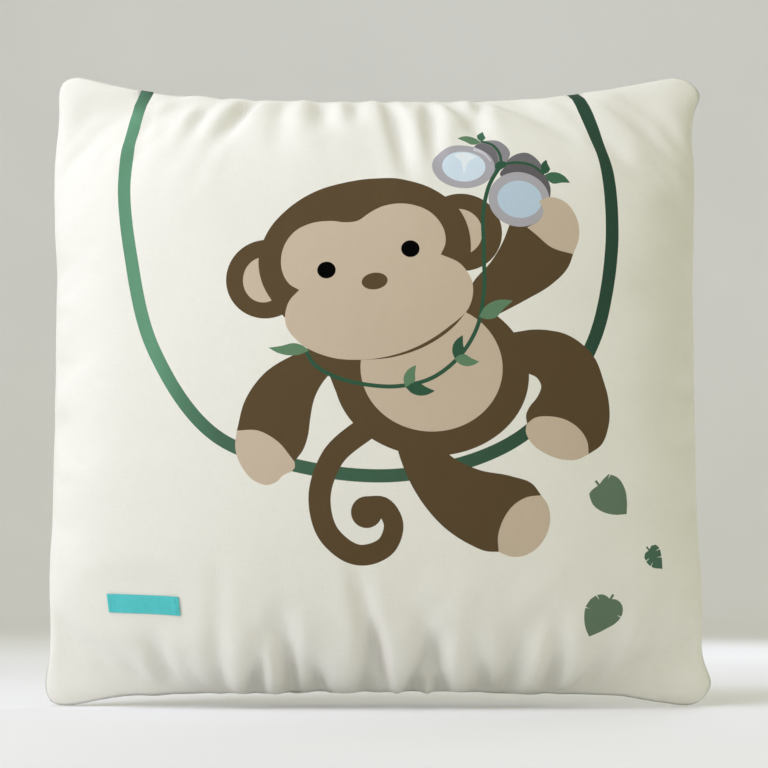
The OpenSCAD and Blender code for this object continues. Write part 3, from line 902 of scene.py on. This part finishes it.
def insert_material():
    """Spun-bonded non-woven: flat fibres pressed in a dotted grid."""
    rgb = colour(238, 239, 238)
    m = Shader("insert_nonwoven", 0.75)
    place = m.place(cloth=True)
    dots = m.math("MULTIPLY", *[m.ribs(axis, 2 * math.pi / 3100) for axis in m.axes(place)[:2]])
    fibre = m.noise(place, 1400, 5, 0.7)
    m.paint(m.ramp(m.mix(dots, fibre, 0.2), [(0.2, shade_of(rgb, 0.9)), (0.8, shade_of(rgb, 1.03))]))
    m.bump(m.math("ADD", dots, fibre), 0.4, 0.0002)
    m.set("Sheen Weight", 0.2)
    return m.material


def fibre_material():
    """Loose polyester fibre: tangled white strands."""
    rgb = colour(242, 242, 240)
    m = Shader("fibre_strands", 0.9)
    place = m.place()
    strands = m.add("ShaderNodeTexVoronoi", {"Scale": 260.0, "Randomness": 1.0}, {"Vector": place},
                    feature="DISTANCE_TO_EDGE").outputs["Distance"]
    tone = m.mix(strands, m.noise(place, 60, 6, 0.7), 0.6)
    m.paint(m.ramp(tone, [(0.25, shade_of(rgb, 0.84)), (0.8, shade_of(rgb, 1.0))]))
    m.bump(tone, 0.7, 0.0008)
    m.set("Sheen Weight", 0.5)
    return m.material


def make_materials():
    return {"plain_cotton": woven("plain_cotton_weave", colour(233, 232, 221)),
            "thread": thread_material("sewing_thread", colour(236, 235, 214)),
            "tape": tape_material(), "coil": coil_material(), "metal": metal_material(),
            "label_teal": label_material("label_teal_ribbon", colour(72, 196, 198), 0.0007, 0.55, 0.4),
            "label_thread": thread_material("label_thread", colour(84, 204, 206)),
            "label_white": label_material("label_white_satin", colour(240, 240, 238), 0.0005, 0.38, 0.3),
            "insert": insert_material(), "fibre": fibre_material()}


# ---- Pieces ----

def build_front(panel):
    fabric, faces, ink = printed_front(panel)
    points = sample(panel, fabric[:, 0], fabric[:, 1])
    ring = border_ring(fabric)
    names = list(INKS)
    choice = [names.index(i) for i in ink]
    points, fabric, quads = folded_edge(points, fabric, ring, -1)
    inks = [fading_vine() if n == "vine" else ink_material(n) for n in names]
    piece = new_object("cover_front", points, [list(f) for f in faces] + quads, inks,
                       choice + [0] * len(quads))
    weave_map(piece, fabric)
    thicken(piece, FABRIC)
    place_piece(piece, "cushion", "printed_cotton", "front_panel")
    return piece


# ---- The zip's own frame ----

def zip_skin(x, z):
    """How far back the zip's strip lies at a place on the back of the cover."""
    radius = ZIP_RADIUS + (z - ZIP_Z) * math.tan(ZIP_TILT)
    return ARC_Y + np.sqrt(np.maximum(radius ** 2 - x ** 2, 1e-6))


def on_zip(along, x, y, z):
    """World place of a point on the zip: along is the distance along the chain, x, y and z are local:
    x along the chain, y outwards, z up the tape."""
    angle = along / ZIP_RADIUS
    out = ZIP_RADIUS + y * math.cos(ZIP_TILT) + z * math.sin(ZIP_TILT)
    up = -y * math.sin(ZIP_TILT) + z * math.cos(ZIP_TILT)
    back = ARC_Y + out * math.cos(angle) - x * math.sin(angle)
    return (out * math.sin(angle) + x * math.cos(angle), back, ZIP_Z + up)


def sweep(paths, radius, sides=6, capped=True):
    """Round tubes along paths of points, as points and faces; one radius, or one for each point."""
    points, faces = [], []
    for path in paths:
        path = np.asarray(path, float)
        way = np.gradient(path, axis=0)
        way /= np.maximum(np.linalg.norm(way, axis=1, keepdims=True), 1e-12)
        guide = np.where(np.abs(way[:, 2:3]) > 0.9, [[0.0, 1.0, 0.0]], [[0.0, 0.0, 1.0]])
        u = np.cross(way, guide)
        u /= np.linalg.norm(u, axis=1, keepdims=True)
        v = np.cross(way, u)
        r = np.broadcast_to(np.asarray(radius, float), (len(path),))
        base = len(points)
        for k in range(len(path)):
            for a in np.arange(sides) * 2 * math.pi / sides:
                points.append(path[k] + r[k] * (u[k] * math.cos(a) + v[k] * math.sin(a)))
        for k in range(len(path) - 1):
            for i in range(sides):
                n = (i + 1) % sides
                faces.append((base + k * sides + i, base + (k + 1) * sides + i, base + (k + 1) * sides + n,
                              base + k * sides + n))
        if capped:
            faces.append(tuple(base + i for i in range(sides)))
            faces.append(tuple(base + (len(path) - 1) * sides + i for i in range(sides - 1, -1, -1)))
    return points, faces


# ---- Back of the cover ----

def back_fabric():
    """Fabric places of the back's grid, its rows drawn so that one of them follows the zip."""
    line = np.linspace(-1, 1, BACK_CELLS + 1)
    s = line
    zip_t = float(np.interp(ZIP_Z, smooth_cover(0 * line, line, 1)[:, 2], line))
    row = int(round((1 + zip_t) / 2 * BACK_CELLS))
    low, high = np.full(len(s), -1.0), np.full(len(s), 1.0)
    for _ in range(30):
        middle = (low + high) / 2
        under = smooth_cover(s, middle, 1)[:, 2] < ZIP_Z
        low, high = np.where(under, middle, low), np.where(under, high, middle)
    t = np.zeros((len(s), BACK_CELLS + 1))
    t[:, :row + 1] = -1 + (low[:, None] + 1) * np.linspace(0, 1, row + 1)
    t[:, row:] = low[:, None] + (1 - low[:, None]) * np.linspace(0, 1, BACK_CELLS + 1 - row)
    return np.repeat(s[:, None], BACK_CELLS + 1, axis=1), t, row


def settle_on_zip(points):
    """Draws the back fabric onto the inner face of the zip's tapes, and sinks the seam beyond them."""
    x, z = points[:, 0], points[:, 2]
    inner = zip_skin(x, z) - 0.0010
    pull = (1 - step_up(np.abs(z - ZIP_Z), 0.0165, 0.0300)) * (1 - step_up(np.abs(x), 0.157, 0.172))
    points[:, 1] += (inner - points[:, 1]) * pull
    seam = np.exp(-((z - ZIP_Z) / 0.0016) ** 2) * step_up(np.abs(x), 0.152, 0.156)
    points[:, 1] -= seam * 0.0016 * np.clip(points[:, 1] / 0.02, 0, 1)
    return points


def back_piece(name, panel, rows, s, t, row):
    fabric = np.stack([s.ravel(), t.ravel()], -1)
    points = settle_on_zip(sample(panel, fabric[:, 0], fabric[:, 1]))
    number = np.arange(fabric.shape[0]).reshape(s.shape)
    part = number[:, rows]
    quads = []
    for quad in grid_faces(part, 1):
        middle = points[quad].mean(axis=0)
        if abs(middle[0]) > OPENING_X or abs(middle[2] - ZIP_Z) > OPENING_Z:
            quads.append(quad)
    left, right = part[0, :], part[-1, :]
    if row == rows.start:
        chain = list(right) + list(part[::-1, -1][1:-1]) + list(left[::-1])
    else:
        chain = list(left[::-1]) + list(part[1:-1, 0]) + list(right)
    points, fabric, edge = folded_edge(points, fabric, [int(c) for c in chain], 1, closed=False)
    used = sorted({int(i) for f in quads + edge for i in f})
    renumber = {old: new for new, old in enumerate(used)}
    faces = [[renumber[int(i)] for i in f] for f in quads + edge]
    piece = new_object(name, points[used], faces, [MATERIALS["plain_cotton"]])
    weave_map(piece, fabric[used])
    thicken(piece, FABRIC)
    return piece


def thicken(piece, depth):
    """Gives a sheet its real thickness, on its inner side."""
    layer = piece.modifiers.new("thickness", "SOLIDIFY")
    layer.thickness = depth
    layer.offset = -1
    layer.use_even_offset = False
    apply_modifiers(piece)


def apply_modifiers(piece):
    done = piece.evaluated_get(bpy.context.evaluated_depsgraph_get())
    mesh = bpy.data.meshes.new_from_object(done)
    old = piece.data
    piece.modifiers.clear()
    piece.data = mesh
    mesh.name = piece.name
    bpy.data.meshes.remove(old)


def build_backs(panel):
    s, t, row = back_fabric()
    upper = back_piece("cover_back_upper", panel, slice(row, BACK_CELLS + 1), s, t, row)
    lower = back_piece("cover_back_lower", panel, slice(0, row + 1), s, t, row)
    place_piece(upper, "cushion", "plain_cotton", "back_panel_upper")
    place_piece(lower, "cushion", "plain_cotton", "back_panel_lower")


def place_piece(piece, body, slot, *nodes):
    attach(piece, body)
    if nodes:
        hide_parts(*nodes)


# ---- Zip ----

def build_coil(name, side, node):
    """One half of the chain: a filament wound in flattened turns that catch the other half's turns."""
    pitch, turn = 0.00135, 10
    count = int(ZIP_HALF * 2 / pitch) * turn
    k = np.arange(count + 1)
    angle = 2 * math.pi * k / turn
    along = -ZIP_HALF + 0.0004 + pitch * k / turn + (pitch / 2 if side < 0 else 0)
    across = side * (0.00132 - 0.00145 * np.cos(angle))
    out = 0.00088 * np.sin(angle)
    path = [on_zip(a, 0, o, c) for a, o, c in zip(along, out, across)]
    build_threads(name, [path], 0.00033, node, material="coil", slot="zip_coil")


def stitch_row(height, first, last, length=0.0030, gap=0.0004, skin=0.0003):
    """Lockstitches along the zip: each dips into the cloth at both ends."""
    shares = np.linspace(0, 1, 6)
    lifts = [0.00042 * math.sin(math.pi * f) ** 0.6 if 0 < f < 1 else -0.0002 for f in shares]
    paths = []
    along = first
    while along + length <= last:
        paths.append([on_zip(along + length * f, 0, skin + lift, height) for f, lift in zip(shares, lifts)])
        along += length + gap
    return paths


def build_stitching(name, side, node):
    paths = []
    for offset in (0.0110, 0.0145):
        paths += stitch_row(side * offset, -0.1535, 0.1535)
    build_threads(name, paths, 0.00026, node)


def build_threads(name, paths, radius, *nodes, sides=6, material="thread", slot="thread"):
    """Threads along the given paths, as one piece that rides on the cushion."""
    points, faces = sweep(paths, radius, sides)
    place_piece(new_object(name, points, faces, [MATERIALS[material]]), "cushion", slot, *nodes)


def build_bar_tacks():
    """Dense bars of thread across the tapes at both ends of the zip."""
    reach = 0.0011
    paths = []
    for middle in (-TACK_X, TACK_X):
        for k in range(26):
            height = -0.0072 + 0.0144 * k / 25
            lean = 0.00012 * (-1) ** k
            paths.append([on_zip(middle + x, 0, 0.00045 + 0.00035 * (1 - (x / reach) ** 2),
                                 height + lean * x / reach) for x in np.linspace(-reach, reach, 5)])
        for x in (-0.0008, 0.0008):
            paths.append([on_zip(middle + x, 0, 0.00095, h) for h in np.linspace(-0.0074, 0.0074, 8)])
    build_threads("zip_bar_tack_threads", paths, 0.00032, "zip_bar_tacks")


def rounded_copy(node, body, width, material, slot):
    """A CAD piece with its edges rounded, in place of the plain one."""
    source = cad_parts[node].data
    low = np.array([v.co for v in source.vertices])
    keys, index, lookup = [], [], {}
    for p in low:
        key = tuple(np.round(p, 6))
        index.append(lookup.setdefault(key, len(lookup)))
        if len(lookup) > len(keys):
            keys.append(p)
    faces = [[index[i] for i in f.vertices] for f in source.polygons]
    faces = [f for f in faces if len(set(f)) == len(f)]
    piece = new_object(node + "_metal", keys, faces, [material], smooth=False)
    dissolve = piece.modifiers.new("flat", "DECIMATE")
    dissolve.decimate_type = "DISSOLVE"
    dissolve.angle_limit = math.radians(4)
    bevel = piece.modifiers.new("round", "BEVEL")
    bevel.width = width
    bevel.segments = 3
    bevel.limit_method = "ANGLE"
    bevel.angle_limit = math.radians(40)
    bevel.harden_normals = False
    apply_modifiers(piece)
    piece.data.polygons.foreach_set("use_smooth", np.full(len(piece.data.polygons), True))
    piece.data.set_sharp_from_angle(angle=math.radians(35))
    place_piece(piece, body, slot, node)
    return piece


def build_zip():
    build_coil("zip_coil_turns_upper", 1, "zip_coil_upper")
    build_coil("zip_coil_turns_lower", -1, "zip_coil_lower")
    build_stitching("zip_stitches_upper", 1, "zip_stitching_upper")
    build_stitching("zip_stitches_lower", -1, "zip_stitching_lower")
    build_bar_tacks()
    rounded_copy("zip_slider", "slider", 0.00022, MATERIALS["metal"], "zip_metal")
    rounded_copy("zip_pull_tab", "pull", 0.00016, MATERIALS["metal"], "zip_metal")
    rounded_copy("zip_top_stops", "cushion", 0.0003, MATERIALS["metal"], "zip_metal")
    rounded_copy("zip_bottom_stop", "cushion", 0.0003, MATERIALS["metal"], "zip_metal")
    for node in ("zip_tape_upper", "zip_tape_lower"):
        dress(node, MATERIALS["tape"])


def dress(node, material):
    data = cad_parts[node].data
    data.materials.clear()
    data.materials.append(material)


# ---- Labels ----

def front_place(panel, x, z, lift):
    """World places on the front's fabric, lifted off it, for picture places in metres."""
    fabric = to_fabric(np.stack([x.ravel(), z.ravel()], -1) * 1000)
    here = sample(panel, fabric[:, 0], fabric[:, 1])
    h = 2e-3
    ds = sample(panel, fabric[:, 0] + h, fabric[:, 1]) - here
    dt = sample(panel, fabric[:, 0], fabric[:, 1] + h) - here
    n = np.cross(ds, dt)
    n /= np.linalg.norm(n, axis=1, keepdims=True)
    return here + n * lift.ravel()[:, None]


def label_sheet(points, shape, name, material, depth):
    """A thin label from a grid of points, with rounded, closed edges."""
    number = np.arange(shape[0] * shape[1]).reshape(shape)
    faces = [[int(number[i, j]), int(number[i + 1, j]), int(number[i + 1, j + 1]), int(number[i, j + 1])]
             for i in range(shape[0] - 1) for j in range(shape[1] - 1)]
    piece = new_object(name, points, faces, [material])
    layer = piece.modifiers.new("thickness", "SOLIDIFY")
    layer.thickness = depth
    layer.offset = 0
    bevel = piece.modifiers.new("edge", "BEVEL")
    bevel.width = depth * 0.3
    bevel.segments = 2
    bevel.limit_method = "ANGLE"
    bevel.angle_limit = math.radians(50)
    apply_modifiers(piece)
    return piece


def build_woven_label(panel):
    """Blank woven label: ends folded under and stitched down."""
    u, v = np.meshgrid(np.linspace(-1, 1, 61), np.linspace(-1, 1, 19), indexing="ij")
    x = LABEL_X + 0.0239 * u - 0.0006 * v
    z = LABEL_Z + 0.0060 * v - 0.0009 * u
    rng = np.random.default_rng(5)
    wave = 0.00012 * np.sin(u * 5 + rng.uniform(0, 6)) + 0.00010 * np.sin(v * 3 + u * 2)
    fold = 0.00028 * step_up(np.abs(u), 0.80, 0.84)
    points = front_place(panel, x, z, 0.0006 + wave * (1 - u ** 2) + fold)
    label = label_sheet(points, u.shape, "label_woven", MATERIALS["label_teal"], 0.00045)
    place_piece(label, "cushion", "label_teal", "woven_label")
    paths = []
    for end in (-1, 1):
        for k in range(5):
            f = np.linspace(0, 1, 5)
            across = -0.0058 + 0.0024 * k + 0.0019 * f
            seam_x = LABEL_X + end * 0.0220 - 0.14 * across
            lift = 0.00105 + 0.00022 * np.sin(math.pi * f)
            paths.append(front_place(panel, seam_x, LABEL_Z + across - 0.045 * end * 0.0220, lift))
    build_threads("label_stitches", paths, 0.00017, material="label_thread", slot="label_teal")


def build_care_label(panel):
    """Blank folded satin tag, sewn in beside the zip and lifting a little off the cover."""
    u, v = np.meshgrid(np.linspace(0, 1, 25), np.linspace(0, 1, 33), indexing="ij")
    x = -0.158 - 0.0215 * u
    z = ZIP_Z - 0.0002 - 0.0295 * v
    want = np.stack([x.ravel(), z.ravel() - PRINT_Z], -1) * 1000
    fabric = to_fabric(want)
    n = np.array([-0.25, 0.9, -0.35]) / np.linalg.norm([0.25, 0.9, 0.35])
    lift = -0.0010 + 0.0040 * step_up(v, 0.0, 0.2) + 0.0038 * v ** 2 + 0.0010 * np.sin(u * 4) * v
    points = smooth_cover(fabric[:, 0], fabric[:, 1], 1) + n * lift.ravel()[:, None]
    label = label_sheet(points, u.shape, "label_care", MATERIALS["label_white"], 0.0005)
    place_piece(label, "cushion", "label_white", "care_label")


# ---- Inner pad ----

def shrunk(panel, across, deep, cells):
    """A panel's shape drawn in towards the middle of the cushion."""
    line = np.linspace(-1, 1, cells + 1)
    s, t = np.meshgrid(line, line, indexing="ij")
    points = sample(panel, s.ravel(), t.ravel())
    points = (points - [0, 0, MID_Z]) * [across, deep, across] + [0, 0, MID_Z]
    return points, np.arange(points.shape[0]).reshape(cells + 1, cells + 1), s, t


def clear_of_zip(points):
    near = 1 - step_up(np.abs(points[:, 2] - ZIP_Z), 0.02, 0.045)
    near *= 1 - step_up(np.abs(points[:, 0]), 0.16, 0.19)
    low = zip_skin(points[:, 0], points[:, 2]) - 0.0048
    points[:, 1] -= np.maximum(points[:, 1] - low, 0) * near
    return points


def under_cover(points, panel, side, gap):
    """Moves the pad's points inwards until they lie at least a gap behind the cover's fabric."""
    cells = panel.shape[0]
    number = np.arange(cells * cells).reshape(cells, cells)
    cover = BVHTree.FromPolygons(panel.reshape(-1, 3).tolist(), grid_faces(number, side))
    for point in points:
        hit, *_ = cover.ray_cast(Vector((point[0], side, point[2])), Vector((0, -side, 0)))
        skin = abs(hit.y) if hit else 0.0
        point[1] = side * min(abs(point[1]), max(skin - gap, 0.0))
    return points


def build_insert(panels):
    for index, side, name, deep in ((0, -1, "insert_front", 0.955), (1, 1, "insert_back", 0.925)):
        points, number, s, t = shrunk(blur(panels[index], 2.0), 0.950, deep, 110)
        if side > 0:
            points = clear_of_zip(points)
        points = under_cover(points, panels[index], side, 0.0022)
        points[:, 1] += side * 0.0002
        piece = new_object(name + "_cloth", points, grid_faces(number, side), [MATERIALS["insert"]])
        weave_map(piece, np.stack([s.ravel(), t.ravel()], -1))
        thicken(piece, 0.0002)
        place_piece(piece, "cushion", "insert_fabric", name)


def build_overlock(panel):
    """Loops of thread bound over the edge of the seam allowances, all round inside the cover."""
    edge = np.concatenate([panel[:-1, 0], panel[-1, :-1], panel[:0:-1, -1], panel[0, :0:-1], panel[:1, 0]])
    gone = np.concatenate([[0], np.cumsum(np.linalg.norm(np.diff(edge, axis=0), axis=1))])
    loops, turn = int(gone[-1] / 0.0025), 8
    k = np.arange(loops * turn + 1)
    spot = np.stack([np.interp(k / k[-1] * gone[-1], gone, edge[:, axis]) for axis in range(3)], -1)
    inward = np.array([0, 0, MID_Z]) - spot
    inward[:, 1] = 0
    angle = 2 * math.pi * k / turn
    depth = ALLOWANCE - 0.0012 + 0.0020 * np.cos(angle)
    path = spot + inward * (depth / HALF_W)[:, None]
    path[:, 1] = 0.0013 * np.sin(angle)
    build_threads("seam_overlock_threads", [path], 0.00028, "seam_overlock", sides=5)


def build_closing_seam():
    """Overedge stitches that close the pad's filling opening."""
    share = np.linspace(0, 1, 6)
    y, z = 0.0009 * np.cos(math.pi * share), 0.0172 + 0.0008 * np.sin(math.pi * share)
    paths = [np.stack([-0.0435 + 0.003 * k + 0.0024 * share, y, z], -1) for k in range(30)]
    build_threads("insert_seam_stitches", paths, 0.0003, "insert_closing_seam")


def build_filling(panels):
    """Tufts of polyester fibre that fill the pad."""
    cells = 70
    rng = np.random.default_rng(11)
    waves = [(rng.uniform(3, 11), rng.uniform(3, 11), rng.uniform(0, 6), rng.uniform(0, 6)) for _ in range(9)]
    s, t, number = cover_grid(cells)
    points = np.zeros((number.max() + 1, 3))
    for index, side in ((0, -1), (1, 1)):
        shape, _, _, _ = shrunk(blur(panels[index], 2.0), 0.937, 0.905, cells)
        lumps = sum(np.sin(a * s * 3 + c) * np.sin(b * t * 3 + d) for a, b, c, d in waves) / 9
        depth = (0.0012 + 0.0022 * np.abs(lumps)) * (1 - np.maximum(np.abs(s), np.abs(t)) ** 6)
        shape[:, 1] -= side * depth.ravel()
        if side > 0:
            shape = clear_of_zip(shape) - [0, 0.0006, 0]
        shape = under_cover(shape, panels[index], side, 0.0034)
        points[number[index]] = shape.reshape(cells + 1, cells + 1, 3)
    faces = grid_faces(number[0], -1) + grid_faces(number[1], 1)
    fill = new_object("fibre_tufts", points, faces, [MATERIALS["fibre"]])
    place_piece(fill, "cushion", "fibre", "fibre_fill")


# ---- Stage, lights and camera ----

def build_stage():
    """A round pale floor whose rim curves up into a backdrop on every side."""
    floor, bend, top, around = 2.0, 0.9, 1.8, 72
    profile = [(radius, 0.0) for radius in (0.0, 0.5, 1.2, floor)]
    profile += [(floor + bend * math.sin(a), bend - bend * math.cos(a))
                for a in np.radians(np.arange(7.5, 91, 7.5))]
    profile += [(floor + bend, top)]
    turns = np.arange(around) * 2 * math.pi / around
    points = [(0.0, 0.0, -0.0004)]
    for radius, height in profile[1:]:
        points += [(radius * math.cos(a), radius * math.sin(a), height - 0.0004) for a in turns]
    faces = [(0, 1 + k, 1 + (k + 1) % around) for k in range(around)]
    for base in range(1, 1 + (len(profile) - 2) * around, around):
        for k in range(around):
            n = (k + 1) % around
            faces.append((base + k, base + around + k, base + around + n, base + n))
    m = Shader("stage_paper", 0.95)
    m.paint(m.ramp(m.noise(m.place(), 3, 2), [(0.3, colour(238, 238, 240)), (0.7, colour(241, 241, 243))]))
    new_object("stage_floor", points, faces, [m.material])


def area_light(name, place, target, size, watts, tint):
    light = bpy.data.lights.new(name, "AREA")
    light.shape = "RECTANGLE"
    light.size, light.size_y = size
    light.energy = watts
    light.color = tint
    lamp = bpy.data.objects.new(name, light)
    bpy.context.scene.collection.objects.link(lamp)
    lamp.location = place
    lamp.rotation_euler = (Vector(target) - Vector(place)).to_track_quat("-Z", "Y").to_euler()
    lamp.visible_camera = False


def build_lights():
    world = bpy.data.worlds.new("studio")
    bpy.context.scene.world = world
    world.use_nodes = True
    back = world.node_tree.nodes["Background"]
    back.inputs["Color"].default_value = (1.0, 0.98, 0.62, 1)
    back.inputs["Strength"].default_value = 0.46
    area_light("key_window", (-1.4, -0.85, 0.68), (0, 0, 0.22), (0.9, 1.06), 11.0, (1.0, 0.99, 1.13))
    area_light("top_window", (-0.5, -0.5, 1.6), (0, 0, 0.3), (0.8, 0.6), 9.2, (0.97, 1.0, 1.28))
    area_light("right_bounce", (1.2, -1.0, 0.28), (0, 0, 0.16), (0.8, 0.20), 1.3, (1.0, 1.0, 0.6))
    area_light("back_fill", (0.6, 1.0, 0.75), (0, 0, 0.2), (0.7, 0.7), 4, (0.92, 0.95, 1.15))
    area_light("backdrop_glow", (0, 1.3, 2.1), (0, 2.9, 0.7), (1.6, 0.8), 4, (0.90, 0.95, 1.3))


def build_camera():
    data = bpy.data.cameras.new("camera")
    data.sensor_width = 36
    data.lens = CAMERA_LENS
    camera = bpy.data.objects.new("camera", data)
    bpy.context.scene.collection.objects.link(camera)
    camera.location = CAMERA_PLACE
    camera.rotation_euler = (CAMERA_PITCH, 0, 0)
    bpy.context.scene.camera = camera


# ---- Putting it together ----

MATERIALS = make_materials()
panels = cover_panels()
build_front(panels[0])
build_backs(panels[1])
build_zip()
build_woven_label(panels[0])
build_care_label(panels[1])
build_insert(panels)
build_overlock(panels[0])
build_closing_seam()
build_filling(panels)
build_stage()
build_lights()
build_camera()
bpy.context.scene.view_settings.view_transform = "Standard"
